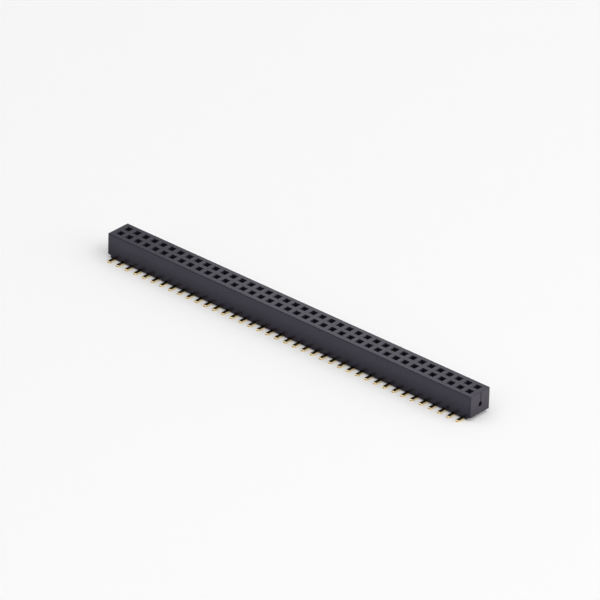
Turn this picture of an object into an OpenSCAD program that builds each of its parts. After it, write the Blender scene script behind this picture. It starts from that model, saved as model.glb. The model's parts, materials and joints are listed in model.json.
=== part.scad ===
// Two-row surface-mount socket strip: one moulded housing and a pair of formed contacts at
// each position. X runs along the strip, Y across it and Z up from the board. The origin is
// at the middle of the strip, on the board, under the feet of the contacts.

/* [Pin grid] */
// Number of positions along the strip, each with a front and a rear contact
positions = 40; // [2:1:50]
// Distance from one position to the next
pitch = 1.27; // [1.2:0.01:2.54]
// Distance between the front row and the rear row
row_pitch = 1.27; // [1.27:0.01:2.54]
// Side of the square pin that the sockets take
pin_size = 0.4; // [0.3:0.01:0.45]

/* [Housing] */
// Height of the housing, from its underside to its top
body_h = 2.8; // [2.25:0.05:8.5]
// Height of the housing's underside above the board
standoff = 0.15; // [0.05:0.05:0.4]
// Thickness of the long side walls, outside the contacts
side_wall = 0.35; // [0.2:0.05:1]
// Thickness of the end walls, outside the last contacts
end_wall = 0.65; // [0.4:0.05:2]
// Thickness of the deck above the contacts, which guides the pins
deck_t = 0.45; // [0.3:0.05:1]
// Width by which the mouth of each socket is larger than its throat
lead_in = 0.08; // [0.04:0.02:0.3]
// Depth of the sloping mouth of each socket
lead_depth = 0.08; // [0.04:0.02:0.25]
// Radius of the housing's upright corners
corner_r = 0.2; // [0.05:0.05:0.5]
// Bevel round the housing's top
top_bevel = 0.08; // [0.02:0.01:0.15]
// Diameter of the dimple in each end wall
dimple_d = 0.55; // [0.2:0.05:0.8]
// Depth of the dimple
dimple_depth = 0.2; // [0.05:0.01:0.25]
// Width of the groove that runs from the dimple up to the top
groove_w = 0.25; // [0.1:0.05:0.4]
// Depth of the groove
groove_depth = 0.04; // [0.02:0.01:0.2]
// Height by which the underside is raised at each end
end_rise = 0.3; // [0.1:0.05:0.5]

/* [Contacts] */
// Thickness of the metal strip
strip_t = 0.2; // [0.12:0.01:0.22]
// Radius of the bends, along the middle of the strip
bend_r = 0.18; // [0.14:0.01:0.2]
// Width of the tail that is soldered to the board
tail_w = 0.42; // [0.3:0.02:0.5]
// Length of the tail outside the housing
tail_l = 0.95; // [0.4:0.05:2]
// Width of the two spring arms at their root
arm_w = 0.66; // [0.6:0.02:0.8]
// Width of the arms at their tips
arm_tip_w = 0.4; // [0.3:0.02:0.5]
// Clear distance between the arms at their root
root_gap = 0.55; // [0.5:0.01:0.6]
// How far a pin pushes each arm aside
deflection = 0.05; // [0.02:0.01:0.09]
// How far the barbs stand out of the arms, to grip the housing
barb = 0.03; // [0.02:0.01:0.06]

/* [Hidden] */
// Clearance between the pin and the throat of its socket, on each side
pin_gap = 0.15;
// Clearances behind the arms' roots, towards the middle of the strip and outwards
inner_gap = 0.04;
outer_gap = 0.14;
// Clearance above the arms' tips
arm_top_gap = 0.1;
// Clearances beside the tail: in the arm that it was cut from, and in the housing
lance_gap = 0.02;
slot_gap = 0.04;
// Clearance above the tail where it leaves the housing
slot_rise = 0.14;
// Thickness left between the raised ends and the cavities of the last contacts
end_skin = 0.15;
// Height of the flared tips of the arms, and their angle from upright
flare_h = 0.28;
flare_angle = 20;
// Height of the barbs above the base, and the heights of their flat and of their slope
barb_low = 0.45;
barb_flat = 0.05;
barb_slope = 0.2;
// Share of the outer arm's height that the window left by the tail takes up
window_share = 0.62;
// Upright edge left below the rounded tip of the tail
tip_flat = 0.03;
// Share of the tail's half width that its rounded corners take up
tip_corner_share = 0.8;
// How far each cut reaches past the face that it opens
cut_over = 0.1;
// Largest angle between two points on a bend
bend_step = 15;

// Places along Z
body_top = standoff + body_h;
cavity_top = body_top - deck_t;
base_z = strip_t / 2;
arm_top = cavity_top - arm_top_gap;
nip_z = arm_top - flare_h;
tip_round = strip_t - tip_flat;
window_top = base_z + window_share * (arm_top - base_z);
slot_top = max(standoff, strip_t) + slot_rise;

// Places across the strip, from the pin outwards
arm_half = root_gap / 2 + strip_t / 2;
nip_half = pin_size / 2 - deflection + strip_t / 2;
cavity_in = root_gap / 2 + strip_t + inner_gap;
cavity_out = root_gap / 2 + strip_t + outer_gap;
row_y = row_pitch / 2;
body_w = row_pitch + 2 * (cavity_out + side_wall);
tip_y = body_w / 2 + tail_l - row_y;

// Places along the strip
cavity_w = arm_w + 2 * barb;
throat = pin_size + 2 * pin_gap;
slot_w = tail_w + 2 * slot_gap;
body_l = (positions - 1) * pitch + cavity_w + 2 * end_wall;
function place_x(i) = (i - (positions - 1) / 2) * pitch;

// The arms lean in from their root bend to the nip, then flare out to take the pin
lean = atan((arm_half - nip_half) / (nip_z - base_z - bend_r));
arm_run = (nip_z - base_z - bend_r) / cos(lean);
flare_run = (arm_top - nip_z) / cos(flare_angle) - bend_r * sin(flare_angle);

// A strip seen from its edge is a chain of straight runs, each followed by a bend.
// Steps are [length, angle], an angle above 0 bends to the left, and side is 1 or -1.
function along(a) = [cos(a), sin(a)];
function beside(a) = [-sin(a), cos(a)];
function bend_points(centre, heading, turn, side) =
    let (
        s = sign(turn),
        n = max(2, ceil(abs(turn) / bend_step)),
        r = bend_r - s * side * strip_t / 2
    )
    [for (k = [1 : n]) centre - s * r * beside(heading + turn * k / n)];
function strip_edge(steps, side, at, heading, i = 0) =
    i == len(steps) ? [] :
    let (
        turn = steps[i][1],
        corner = at + steps[i][0] * along(heading),
        centre = corner + sign(turn) * bend_r * beside(heading),
        next = turn == 0 ? corner : centre - sign(turn) * bend_r * beside(heading + turn),
        offset = side * strip_t / 2
    )
    concat(
        [corner + offset * beside(heading)],
        turn == 0 ? [] : bend_points(centre, heading, turn, side),
        strip_edge(steps, side, next, heading + turn, i + 1)
    );
function turned_over(points) = [for (k = [len(points) - 1 : -1 : 0]) points[k]];
function mirrored(points) = [for (p = points) [-p[0], p[1]]];

function node_number(i) = i < 9 ? str("0", i + 1) : str(i + 1);
function pair_name(i) = str("contacts_", node_number(i));

// Stands a drawing of Y and Z upright and gives it a width along X
module across(width) {
    rotate([90, 0, 90])
        linear_extrude(width, center = true)
            children();
}

// Stands a drawing of X and Z upright and gives it a depth along Y
module lengthwise(depth) {
    rotate([90, 0, 0])
        linear_extrude(depth, center = true)
            children();
}

// Repeats what is drawn for one contact of the rear row at every position of both rows
module at_every_contact() {
    for (i = [0 : positions - 1])
        translate([place_x(i), 0, 0])
            for (turn = [0, 180])
                rotate(turn)
                    translate([0, row_y, 0])
                        children();
}

module body_block() {
    core = [body_l - 2 * corner_r, body_w - 2 * corner_r];
    translate([0, 0, standoff])
        linear_extrude(body_h) {
            square([core[0], body_w], center = true);
            square([body_l, core[1]], center = true);
            for (x = [-1, 1], y = [-1, 1])
                translate([x * core[0] / 2, y * core[1] / 2])
                    circle(corner_r, $fn = 48);
        }
}

module bevel_cutter(length) {
    rotate([45, 0, 0])
        cube([length, top_bevel * sqrt(2), top_bevel * sqrt(2)], center = true);
}

module top_bevels() {
    for (side = [-1, 1]) {
        translate([0, side * body_w / 2, body_top])
            bevel_cutter(body_l + cut_over);
        translate([side * body_l / 2, 0, body_top])
            rotate(90)
                bevel_cutter(body_w + cut_over);
    }
}

// The space round one contact: the cavity for its arms, and the slot for its tail
module contact_space() {
    below = standoff - cut_over;
    translate([-cavity_w / 2, -cavity_in, below])
        cube([cavity_w, cavity_in + cavity_out, cavity_top - below]);
    translate([-slot_w / 2, 0, below])
        cube([slot_w, cavity_out + side_wall + cut_over, slot_top - below]);
}

module pin_hole() {
    translate([0, 0, body_top - deck_t / 2])
        cube([throat, throat, deck_t + 2 * cut_over], center = true);
}

// Section of a trough that narrows from the mouth to the throat
module trough_section() {
    mouth_half = throat / 2 + lead_in / 2;
    steepness = lead_in / 2 / lead_depth;
    over = mouth_half + steepness * cut_over;
    polygon([
        [-throat / 2, body_top - lead_depth],
        [throat / 2, body_top - lead_depth],
        [over, body_top + cut_over],
        [-over, body_top + cut_over]
    ]);
}

// Troughs along the rows and across them: each crossing is one square funnel
module lead_ins() {
    intersection() {
        for (y = [-row_y, row_y])
            translate([0, y, 0])
                across(body_l - end_wall)
                    trough_section();
        for (i = [0 : positions - 1])
            translate([place_x(i), 0, 0])
                lengthwise(body_w - side_wall)
                    trough_section();
    }
}

// A dimple halfway up each end, and the groove above it
module end_marks() {
    dimple_z = standoff + body_h / 2;
    for (side = [0, 180])
        rotate(side)
            translate([body_l / 2, 0, 0]) {
                translate([-dimple_depth, 0, dimple_z])
                    rotate([0, 90, 0])
                        cylinder(h = dimple_depth + cut_over, d = dimple_d, $fn = 48);
                translate([-groove_depth, -groove_w / 2, dimple_z])
                    cube([groove_depth + cut_over, groove_w, body_h / 2 + cut_over]);
            }
}

// The underside is raised below each end wall
module end_rises() {
    length = end_wall - end_skin;
    for (side = [0, 180])
        rotate(side)
            translate([body_l / 2 - length, -body_w, standoff - cut_over])
                cube([length + cut_over, 2 * body_w, end_rise + cut_over]);
}

module housing() {
    color("#2b2b2e")
        difference() {
            body_block();
            top_bevels();
            at_every_contact() contact_space();
            at_every_contact() pin_hole();
            lead_ins();
            end_marks();
            end_rises();
        }
}

// The two arms and the base between them, seen from the side as one bent strip
module spring_section() {
    half = [
        [arm_half - bend_r, 90 + lean],
        [arm_run, -(lean + flare_angle)],
        [flare_run, 0]
    ];
    inside = strip_edge(half, 1, [0, base_z], 0);
    outside = strip_edge(half, -1, [0, base_z], 0);
    polygon(concat(inside, turned_over(outside), mirrored(outside), turned_over(mirrored(inside))));
}

// The arms seen from the front: barbs near the root, and a taper towards the tips
module spring_outline() {
    half = arm_w / 2;
    barb_z = base_z + barb_low;
    right = [
        [half, 0],
        [half, barb_z],
        [half + barb, barb_z],
        [half + barb, barb_z + barb_flat],
        [half, barb_z + barb_flat + barb_slope],
        [half, window_top],
        [arm_tip_w / 2, body_top]
    ];
    polygon(concat(right, turned_over(mirrored(right))));
}

// The outer arm is open in the middle, where the tail was cut free of it
module lance_window() {
    width = tail_w + 2 * lance_gap;
    depth = bend_r + strip_t + outer_gap;
    translate([-width / 2, arm_half - bend_r, 0])
        cube([width, depth, window_top]);
}

// The tail seen from the side: flat, with a rounded upper edge at its tip
module tail_section() {
    start = arm_half - bend_r - cut_over;
    nose = [for (a = [0 : bend_step : 90])
        [tip_y - tip_round * (1 - sin(a)), strip_t - tip_round * (1 - cos(a))]];
    polygon(concat([[start, 0], [start, strip_t]], nose, [[tip_y, 0]]));
}

// The tail seen from above, with rounded corners at its tip
module tail_outline() {
    r = tip_corner_share * tail_w / 2;
    corner = [for (a = [0 : bend_step : 90])
        [tail_w / 2 - r * (1 - cos(a)), tip_y - r * (1 - sin(a))]];
    right = concat([[tail_w / 2, 0]], corner);
    polygon(concat(right, turned_over(mirrored(right))));
}

module tail() {
    intersection() {
        across(tail_w)
            tail_section();
        linear_extrude(2 * strip_t)
            tail_outline();
    }
}

module contact() {
    difference() {
        intersection() {
            across(cavity_w)
                spring_section();
            lengthwise(2 * cavity_out)
                spring_outline();
        }
        lance_window();
    }
    tail();
}

// The rear and the front contact of one position, as two separate solids
module contact_pair(i) {
    color("#d2b46a")
        translate([place_x(i), 0, 0])
            for (turn = [0, 180])
                rotate(turn)
                    translate([0, row_y, 0])
                        contact();
}

housing();
for (i = [0 : positions - 1])
    contact_pair(i);
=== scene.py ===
import json
import math

import bpy
from mathutils import Matrix, Vector


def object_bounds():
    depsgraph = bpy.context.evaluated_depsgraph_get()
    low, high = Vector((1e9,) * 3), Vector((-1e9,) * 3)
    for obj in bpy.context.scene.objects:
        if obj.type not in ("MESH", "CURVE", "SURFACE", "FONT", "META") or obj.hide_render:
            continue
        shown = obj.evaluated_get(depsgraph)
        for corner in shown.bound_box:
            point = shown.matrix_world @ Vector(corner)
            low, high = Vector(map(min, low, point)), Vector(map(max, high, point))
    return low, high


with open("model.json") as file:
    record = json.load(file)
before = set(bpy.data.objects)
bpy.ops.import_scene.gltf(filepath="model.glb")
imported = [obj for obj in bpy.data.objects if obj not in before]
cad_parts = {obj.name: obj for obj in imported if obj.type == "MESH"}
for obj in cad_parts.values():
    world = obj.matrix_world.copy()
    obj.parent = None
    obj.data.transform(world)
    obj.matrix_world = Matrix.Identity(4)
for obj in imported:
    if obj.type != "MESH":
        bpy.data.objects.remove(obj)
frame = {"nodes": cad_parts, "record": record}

CAD_LOW, CAD_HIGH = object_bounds()
MM = 0.001

# Camera, as worked out from the socket grid: angles in degrees, lengths in millimetres
AZIMUTH = 40.7
ELEVATION = 29.05
ROLL = 1.64
DISTANCE = 854.7
LENS = 482.4
SENSOR = 36.0
AIM_RIGHT = 0.424
AIM_UP = 0.931
# Nearest and farthest point that the camera sees, in metres
CLIP = (0.01, 20)

# The world's levels, where 1 is white: what lights the part, and what the camera sees
WORLD_FILL = 0.304
WORLD_SEEN = 0.94
# What gloss mirrors: a pale backdrop behind and above, and a dark room on the camera's side.
# ROOM_EDGE is where one passes into the other, measured along the camera's horizontal
# direction, less ROOM_SLOPE times the rise.
BACKDROP = 0.616
ROOM_DARK = 0.048
ROOM_SLOPE = 0.5
ROOM_EDGE = (-0.36, -0.14)

# Floor: half its side in metres, its colour, and the lift of its tone near the part and far
# away, where the lamps don't reach. FAR_REACH is in millimetres from the part's middle.
FLOOR_HALF = 1.5
FLOOR_COLOUR = (0.92, 0.92, 0.92, 1)
FLOOR_LIFT = (0.085, 0.50)
FAR_REACH = (150, 1300)

# Softboxes: name, place and side in metres, power in watts
LAMPS = (
    ("overhead", (0.12, -0.14, 0.78), 1.6, 6.8),
    ("side", (0.60, 0.20, 0.40), 0.8, 2.5),
    ("rear", (-0.106, 0.133, 0.100), 0.04, 0.004),
)

# Colours, linear
HOUSING_DARK = (0.009, 0.0085, 0.015, 1)
HOUSING_LIGHT = (0.015, 0.014, 0.025, 1)
HOUSING_SHEEN = (0.84, 0.81, 1.0, 1)
# Painted light: the end faces are painted lighter, standing in for the light they catch from the
# side
HOUSING_END_PAINTED_LIGHT = (0.040, 0.036, 0.045, 1)
# Painted light: the sockets' insides are painted a little lighter than the outside, so their
# shaded walls don't go black
SOCKET_PAINTED_LIGHT = (0.019, 0.017, 0.026, 1)
GOLD = (0.95, 0.77, 0.45, 1)
GOLD_WORN = (0.82, 0.65, 0.36, 1)

# Noise, in features per millimetre, and the part of its range that is spread out
MOTTLE = {"scale": 0.9, "detail": 4.0}
GRAIN = {"scale": 14.0, "detail": 3.0, "roughness": 0.6}
GOLD_CLOUD = {"scale": 2.2, "detail": 3.0}
GOLD_GRAIN = {"scale": 22.0, "detail": 2.0}
NOISE_RANGE = (0.35, 0.65)

# Housing plastic: how far the mottle mixes its two colours, and its gloss. The specular level
# falls from SHEEN_HEIGHTS' upper height to the lower one, in millimetres: painted shade,
# darkening the faces towards the underside.
MOTTLE_MIX = (0.2, 0.8)
HOUSING_ROUGHNESS = (0.15, 0.27)
HOUSING_IOR = 1.5
SHEEN = (0.22, 0.5)
SHEEN_HEIGHTS = (0.4, 2.2)

# Contact gold
GOLD_ROUGHNESS = (0.16, 0.28)

# Grain in relief: its height in millimetres, and the bump's strength
HOUSING_RELIEF = (0.004, 0.6)
GOLD_RELIEF = (0.002, 0.5)

# Where the sockets' insides begin, in millimetres in from the housing's sides and top
SOCKET_IN = 0.5
SOCKET_DOWN = 0.06
# Where the end faces' painted light begins and where it is full, in millimetres in from the end
END_PAINTED_LIGHT_DEPTHS = (0.08, 0.024)


class Tree:
    """A node tree, with short calls that add nodes, each fed by constants or other nodes."""

    def __init__(self, tree):
        self.tree = tree
        self.tree.nodes.clear()

    def add(self, kind, **values):
        node = self.tree.nodes.new(kind)
        for key, value in values.items():
            setattr(node, key, value)
        return node

    def feed(self, target, value):
        if isinstance(value, bpy.types.NodeSocket):
            self.tree.links.new(value, target)
        else:
            target.default_value = value

    def reckon(self, kind, *values):
        """One step of arithmetic on numbers."""
        node = self.add("ShaderNodeMath", operation=kind)
        for target, value in zip(node.inputs, values):
            self.feed(target, value)
        return node.outputs[0]

    def spread(self, value, results, limits=(0, 1), interpolation="LINEAR"):
        """Results' two numbers where value is at its two limits, and between them in between."""
        node = self.add("ShaderNodeMapRange", interpolation_type=interpolation)
        names = ("Value", "From Min", "From Max", "To Min", "To Max")
        for name, number in zip(names, (value, *limits, *results)):
            self.feed(node.inputs[name], number)
        return node.outputs["Result"]

    def mix(self, value, first, second):
        """The first colour where value is 0, the second where it is 1."""
        node = self.add("ShaderNodeMix", data_type="RGBA")
        for name, given in (("Factor", value), ("A", first), ("B", second)):
            self.feed(node.inputs[name], given)
        return node.outputs["Result"]

    def split(self, place):
        node = self.add("ShaderNodeSeparateXYZ")
        self.feed(node.inputs[0], place)
        return node.outputs


class Shader(Tree):
    """A new material's node tree."""

    def __init__(self, name):
        self.material = bpy.data.materials.new(name)
        self.material.use_nodes = True
        super().__init__(self.material.node_tree)
        self.output = self.add("ShaderNodeOutputMaterial")

    def place_mm(self):
        """The point on the surface in millimetres, in the part's own frame."""
        where = self.add("ShaderNodeTexCoord")
        scale = self.add("ShaderNodeVectorMath", operation="SCALE")
        self.feed(scale.inputs["Scale"], 1 / MM)
        self.feed(scale.inputs[0], where.outputs["Object"])
        return scale.outputs["Vector"]

    def noise(self, place, scale, detail, roughness=0.5):
        node = self.add("ShaderNodeTexNoise")
        self.feed(node.inputs["Scale"], scale)
        self.feed(node.inputs["Detail"], detail)
        self.feed(node.inputs["Roughness"], roughness)
        self.feed(node.inputs["Vector"], place)
        return node.outputs["Fac"]

    def bump(self, height, relief):
        node = self.add("ShaderNodeBump")
        self.feed(node.inputs["Distance"], relief[0] * MM)
        self.feed(node.inputs["Strength"], relief[1])
        self.feed(node.inputs["Height"], height)
        return node.outputs["Normal"]

    def show(self, surface):
        """Makes a shader's output the material's surface, and returns the material."""
        self.feed(self.output.inputs["Surface"], surface)
        return self.material


def inside_sockets(shader, along, across, height, high):
    """1 in the sockets and cavities, and 0 on the faces of a body that reaches to high.

    along and across are the distances from the body's middle in X and Y.
    """
    in_length = shader.reckon("LESS_THAN", along, high.x - SOCKET_IN)
    in_width = shader.reckon("LESS_THAN", across, high.y - SOCKET_IN)
    depth = shader.spread(height, (1, 0), (high.z - SOCKET_DOWN, high.z))
    return shader.reckon("MULTIPLY", shader.reckon("MULTIPLY", in_length, in_width), depth)


def housing_material(high):
    """Moulded plastic, semi-gloss: fine eroded grain, a faint mottle, painted light on the ends
    and in the sockets, and painted shade low down.
    """
    shader = Shader("housing_plastic")
    place = shader.place_mm()
    x, y, height = shader.split(place)
    along = shader.reckon("ABSOLUTE", x)
    across = shader.reckon("ABSOLUTE", y)
    grain = shader.noise(place, **GRAIN)
    tone = shader.spread(shader.noise(place, **MOTTLE), MOTTLE_MIX, NOISE_RANGE)
    sides = shader.mix(tone, HOUSING_DARK, HOUSING_LIGHT)
    # Painted light: the end faces are painted lighter, standing in for the light they catch from
    # the side
    end = shader.spread(along, (0, 1), [high.x - depth for depth in END_PAINTED_LIGHT_DEPTHS])
    outer = shader.mix(end, sides, HOUSING_END_PAINTED_LIGHT)
    inside = inside_sockets(shader, along, across, height, high)
    surface = shader.add("ShaderNodeBsdfPrincipled")
    for name, value in (
        # Painted light: the sockets' insides are painted a little lighter than the outside, so
        # their shaded walls don't go black
        ("Base Color", shader.mix(inside, outer, SOCKET_PAINTED_LIGHT)),
        ("Roughness", shader.spread(grain, HOUSING_ROUGHNESS, NOISE_RANGE)),
        # Painted shade: the specular level falls towards the underside, darkening the faces low
        # down
        ("Specular IOR Level", shader.spread(height, SHEEN, SHEEN_HEIGHTS)),
        ("Specular Tint", HOUSING_SHEEN),
        ("IOR", HOUSING_IOR),
        ("Normal", shader.bump(grain, HOUSING_RELIEF)),
    ):
        shader.feed(surface.inputs[name], value)
    return shader.show(surface.outputs["BSDF"])


def contact_material():
    """Thin gold plating on rolled strip: satin, with faint wear."""
    shader = Shader("contact_gold")
    place = shader.place_mm()
    grain = shader.noise(place, **GOLD_GRAIN)
    wear = shader.spread(shader.noise(place, **GOLD_CLOUD), (0, 1), NOISE_RANGE)
    surface = shader.add("ShaderNodeBsdfPrincipled")
    for name, value in (
        ("Base Color", shader.mix(wear, GOLD, GOLD_WORN)),
        ("Metallic", 1.0),
        ("Roughness", shader.spread(grain, GOLD_ROUGHNESS, NOISE_RANGE)),
        ("Normal", shader.bump(grain, GOLD_RELIEF)),
    ):
        shader.feed(surface.inputs[name], value)
    return shader.show(surface.outputs["BSDF"])


def dress_cad_nodes():
    """Gives every CAD node the finish of its slot in the record."""
    corners = [Vector(corner) / MM for corner in frame["nodes"]["housing"].bound_box]
    high = Vector(max(corner[axis] for corner in corners) for axis in range(3))
    finishes = {"housing": housing_material(high), "contacts": contact_material()}
    for part in frame["record"]["subparts"]:
        node = frame["nodes"][part["node"]]
        node.data.materials.clear()
        node.data.materials.append(finishes[part["material_slot"]])


def floor_material():
    """White paper: it takes the shadow, and is lifted a little where it is seen or mirrored."""
    shader = Shader("white_floor")
    paper = shader.add("ShaderNodeBsdfDiffuse")
    shader.feed(paper.inputs["Color"], FLOOR_COLOUR)
    path = shader.add("ShaderNodeLightPath").outputs
    seen = shader.reckon("MAXIMUM", path["Is Camera Ray"], path["Is Glossy Ray"])
    reach = shader.add("ShaderNodeVectorMath", operation="LENGTH")
    shader.feed(reach.inputs[0], shader.place_mm())
    level = shader.spread(reach.outputs["Value"], FLOOR_LIFT, FAR_REACH, "SMOOTHSTEP")
    lift = shader.add("ShaderNodeEmission")
    shader.feed(lift.inputs["Strength"], shader.reckon("MULTIPLY", seen, level))
    both = shader.add("ShaderNodeAddShader")
    shader.feed(both.inputs[0], paper.outputs["BSDF"])
    shader.feed(both.inputs[1], lift.outputs["Emission"])
    return shader.show(both.outputs["Shader"])


def make_floor():
    half = FLOOR_HALF
    mesh = bpy.data.meshes.new("floor")
    corners = [(-half, -half, 0), (half, -half, 0), (half, half, 0), (-half, half, 0)]
    mesh.from_pydata(corners, [], [(0, 1, 2, 3)])
    mesh.materials.append(floor_material())
    floor = bpy.data.objects.new("floor", mesh)
    bpy.context.scene.collection.objects.link(floor)


def make_world():
    """Even light all round. Gloss mirrors a pale backdrop, and the camera sees white."""
    world = bpy.data.worlds.new("studio")
    bpy.context.scene.world = world
    world.use_nodes = True
    tree = Tree(world.node_tree)
    azimuth = math.radians(AZIMUTH)
    forward = tree.add("ShaderNodeVectorMath", operation="DOT_PRODUCT")
    tree.feed(forward.inputs[0], tree.add("ShaderNodeTexCoord").outputs["Generated"])
    tree.feed(forward.inputs[1], (math.sin(azimuth), -math.cos(azimuth), -ROOM_SLOPE))
    room = tree.spread(forward.outputs["Value"], (BACKDROP, ROOM_DARK), ROOM_EDGE, "SMOOTHSTEP")
    path = tree.add("ShaderNodeLightPath").outputs
    unseen = tree.spread(path["Is Glossy Ray"], (WORLD_FILL, room))
    level = tree.spread(path["Is Camera Ray"], (unseen, WORLD_SEEN))
    background = tree.add("ShaderNodeBackground")
    tree.feed(background.inputs["Color"], (1, 1, 1, 1))
    tree.feed(background.inputs["Strength"], level)
    output = tree.add("ShaderNodeOutputWorld")
    tree.feed(output.inputs["Surface"], background.outputs["Background"])


def make_lamp(name, place, size, watts):
    """A square softbox that faces the middle of the part."""
    data = bpy.data.lights.new(name, "AREA")
    data.shape = "SQUARE"
    data.size = size
    data.energy = watts
    lamp = bpy.data.objects.new(name, data)
    lamp.location = place
    lamp.rotation_mode = "QUATERNION"
    lamp.rotation_quaternion = Vector(place).to_track_quat("Z", "Y")
    bpy.context.scene.collection.objects.link(lamp)


def make_camera():
    """The photograph's view: long lens, looking down on the strip from its front right."""
    azimuth, elevation, roll = (math.radians(v) for v in (AZIMUTH, ELEVATION, ROLL))
    back = Vector((math.sin(azimuth) * math.cos(elevation),
                   -math.cos(azimuth) * math.cos(elevation),
                   math.sin(elevation)))
    level_right = Vector((math.cos(azimuth), math.sin(azimuth), 0))
    level_up = back.cross(level_right)
    right = math.cos(roll) * level_right + math.sin(roll) * level_up
    up = math.cos(roll) * level_up - math.sin(roll) * level_right
    top_centre = Vector((0, 0, CAD_HIGH.z))
    place = top_centre + (DISTANCE * back + AIM_RIGHT * right + AIM_UP * up) * MM
    data = bpy.data.cameras.new("camera")
    data.lens = LENS
    data.sensor_width = SENSOR
    data.clip_start, data.clip_end = CLIP
    camera = bpy.data.objects.new("camera", data)
    turn = Matrix((right, up, back)).transposed()
    camera.matrix_world = Matrix.Translation(place) @ turn.to_4x4()
    bpy.context.scene.collection.objects.link(camera)
    bpy.context.scene.camera = camera


dress_cad_nodes()
make_floor()
make_world()
for lamp in LAMPS:
    make_lamp(*lamp)
make_camera()
bpy.context.scene.view_settings.view_transform = "Standard"
